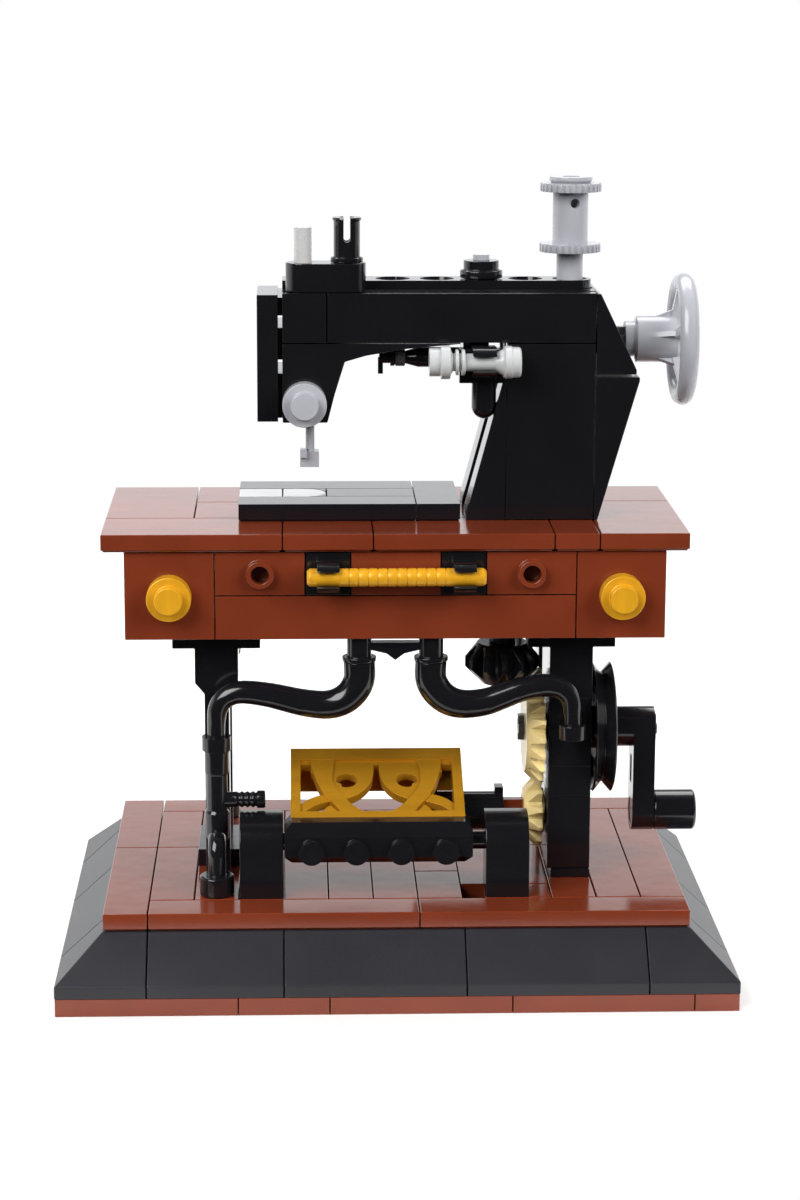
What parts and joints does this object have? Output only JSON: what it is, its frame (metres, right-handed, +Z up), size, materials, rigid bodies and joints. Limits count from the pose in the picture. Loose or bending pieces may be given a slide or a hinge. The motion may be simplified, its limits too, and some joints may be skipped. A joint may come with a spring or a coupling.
{
  "type": "toy sewing machine",
  "caption": "Brick-built display model of a treadle sewing machine on its table, with hand crank, gears, rocking treadle, drawer, hand wheel and spool.",
  "frame": {"origin": "centre of the underside of the base", "axes": "+Z up, +X to the hand wheel, +Y from the operator to the back"},
  "size_m": [0.12, 0.088, 0.1423],
  "materials": {
    "black_plastic": "glossy moulded plastic",
    "black_slope_plastic": "fine-grained moulded plastic on the slopes",
    "reddish_brown_plastic": "glossy moulded plastic",
    "tan_plastic": "satin moulded plastic",
    "pearl_gold_plastic": "pearlescent moulded plastic with flow marks",
    "golden_yellow_plastic": "pearlescent moulded plastic",
    "grey_plastic": "glossy moulded plastic",
    "light_grey_plastic": "satin moulded plastic",
    "dark_grey_plastic": "satin moulded plastic",
    "white_plastic": "glossy moulded plastic"
  },
  "bodies": {
    "frame": {"base_plates": "reddish_brown_plastic", "slope_ring": "black_slope_plastic", "base_core_bricks": "black_plastic", "deck_tiles": "reddish_brown_plastic", "treadle_supports": "black_plastic", "treadle_axle": "black_plastic", "front_leg_foot": "black_plastic", "front_leg_post": "black_plastic", "rear_leg_foot": "black_plastic", "rear_leg_post": "black_plastic", "left_trestle": "black_plastic", "column_bearing_bricks": "black_plastic", "column_bricks": "black_plastic", "rear_column": "black_plastic", "tube_left": "black_plastic", "tube_right": "black_plastic", "tube_yoke": "black_plastic", "table_floor": "black_plastic", "table_box": "reddish_brown_plastic", "table_tiles": "reddish_brown_plastic", "corner_panels": "reddish_brown_plastic", "corner_knobs": "golden_yellow_plastic", "bed_tiles": "black_plastic", "bed_inlay": "white_plastic", "head_core": "black_plastic", "head_panels": "black_plastic", "pillar_wedges": "black_plastic", "shoulder_slopes": "black_plastic", "nose_cap": "black_plastic", "needle_head": "black_plastic", "top_beam": "black_plastic", "thread_block": "black_plastic", "thread_bar": "light_grey_plastic", "thread_pin": "black_plastic", "lamp_clip": "black_plastic", "lamp": "white_plastic", "lamp_rod": "black_plastic"},
    "crank": {"main_shaft": "dark_grey_plastic", "drive_gear": "tan_plastic", "belt_pulley": "black_plastic", "crank_arm": "black_plastic", "crank_handle": "black_plastic"},
    "countershaft": {"lower_shaft": "reddish_brown_plastic", "lower_gear": "tan_plastic", "treadle_cam": "black_plastic"},
    "upright": {"upright_shaft": "dark_grey_plastic", "upright_gear": "black_plastic"},
    "treadle": {"treadle_beam": "black_plastic", "treadle_lattice": "pearl_gold_plastic"},
    "drawer": {"drawer_tray": "reddish_brown_plastic", "drawer_front": "reddish_brown_plastic", "drawer_jumpers": "reddish_brown_plastic", "drawer_clips": "black_plastic", "drawer_handle": "golden_yellow_plastic"},
    "needle": {"needle_bar": "grey_plastic"},
    "wheel": {"hand_wheel": "grey_plastic", "wheel_axle": "dark_grey_plastic"},
    "spool": {"spool": "grey_plastic"},
    "winder": {"winder_bush": "black_plastic"},
    "tension": {"tension_knob": "grey_plastic"}
  },
  "joints": [
    {"name": "crank_spin", "type": "hinge", "parent": "frame", "child": "crank", "pos_m": [0.032, -0.008, 0.0424], "axis": [1, 0, 0], "continuous": true},
    {"name": "countershaft_spin", "type": "hinge", "parent": "frame", "child": "countershaft", "pos_m": [0.032, -0.008, 0.0264], "axis": [1, 0, 0], "continuous": true},
    {"name": "upright_spin", "type": "hinge", "parent": "frame", "child": "upright", "pos_m": [0.02, -0.008, 0.055], "axis": [0, 0, 1], "continuous": true},
    {"name": "treadle_rock", "type": "hinge", "parent": "frame", "child": "treadle", "pos_m": [-0.004, -0.024, 0.0256], "axis": [1, 0, 0], "range_deg": [-3.5, 10]},
    {"name": "drawer_slide", "type": "slide", "parent": "frame", "child": "drawer", "axis": [0, -1, 0], "range_m": [0, 0.028]},
    {"name": "needle_slide", "type": "slide", "parent": "frame", "child": "needle", "axis": [0, 0, 1], "range_m": [-0.005, 0.002]},
    {"name": "wheel_spin", "type": "hinge", "parent": "frame", "child": "wheel", "pos_m": [0.03, 0, 0.113], "axis": [1, 0, 0], "continuous": true},
    {"name": "spool_spin", "type": "hinge", "parent": "frame", "child": "spool", "pos_m": [0.032, 0, 0.125], "axis": [0, 0, 1], "continuous": true},
    {"name": "winder_spin", "type": "hinge", "parent": "frame", "child": "winder", "pos_m": [0.016, 0, 0.122], "axis": [0, 0, 1], "continuous": true},
    {"name": "tension_spin", "type": "hinge", "parent": "frame", "child": "tension", "pos_m": [-0.016, -0.0115, 0.103], "axis": [0, 1, 0], "continuous": true}
  ],
  "couplings": [
    {"joint": "countershaft_spin", "follows": "crank_spin", "ratio": -1.6667},
    {"joint": "upright_spin", "follows": "crank_spin", "ratio": -1.6667}
  ]
}
